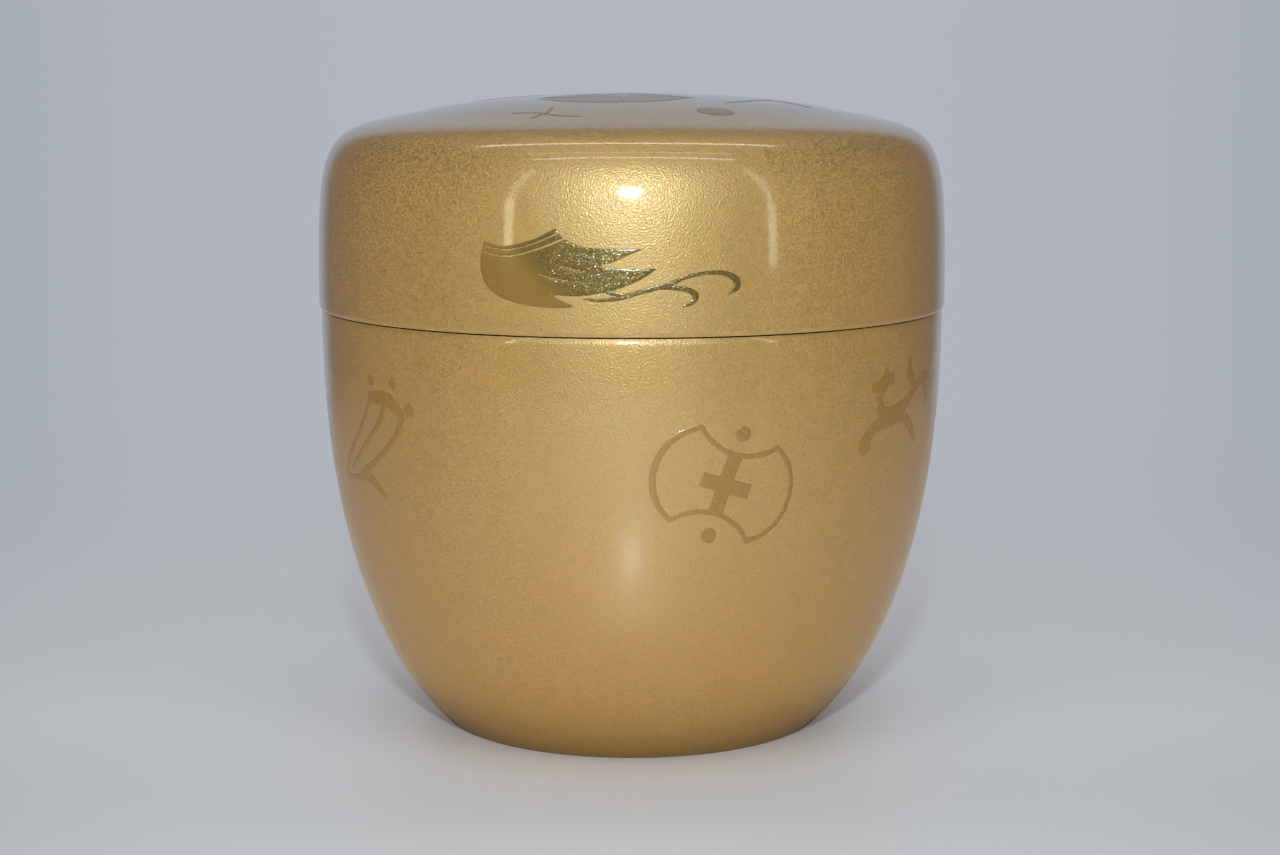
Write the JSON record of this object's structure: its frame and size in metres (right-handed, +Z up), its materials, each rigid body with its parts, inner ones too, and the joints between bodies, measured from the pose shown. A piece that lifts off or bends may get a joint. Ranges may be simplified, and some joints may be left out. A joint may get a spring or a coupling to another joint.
{
  "type": "natsume tea caddy",
  "caption": "Small round lacquered tea caddy with a lift-off lid that slides over a standing collar, for powdered green tea.",
  "frame": {"origin": "middle of the flat ring that the caddy stands on", "axes": "+Z up along the turning axis; -Y is the front, the side the picture shows"},
  "size_m": [0.066, 0.066, 0.0662],
  "materials": {
    "gold_lacquered_wood": "gold flakes under polished clear lacquer on turned wood, with low relief ornament in darker gold",
    "black_lacquered_wood": "polished black lacquer on turned wood",
    "black_lacquer": "polished black lacquer coat"
  },
  "bodies": {
    "body": {"body_shell": "gold_lacquered_wood", "body_lining": "black_lacquer", "rim_collar": "black_lacquered_wood", "foot_lacquer": "black_lacquer"},
    "lid": {"lid_shell": "gold_lacquered_wood", "lid_lining": "black_lacquer"}
  },
  "joints": [
    {"name": "lid_lift", "type": "slide", "parent": "body", "child": "lid", "axis": [0, 0, 1], "range_m": [0, 0.04]}
  ]
}
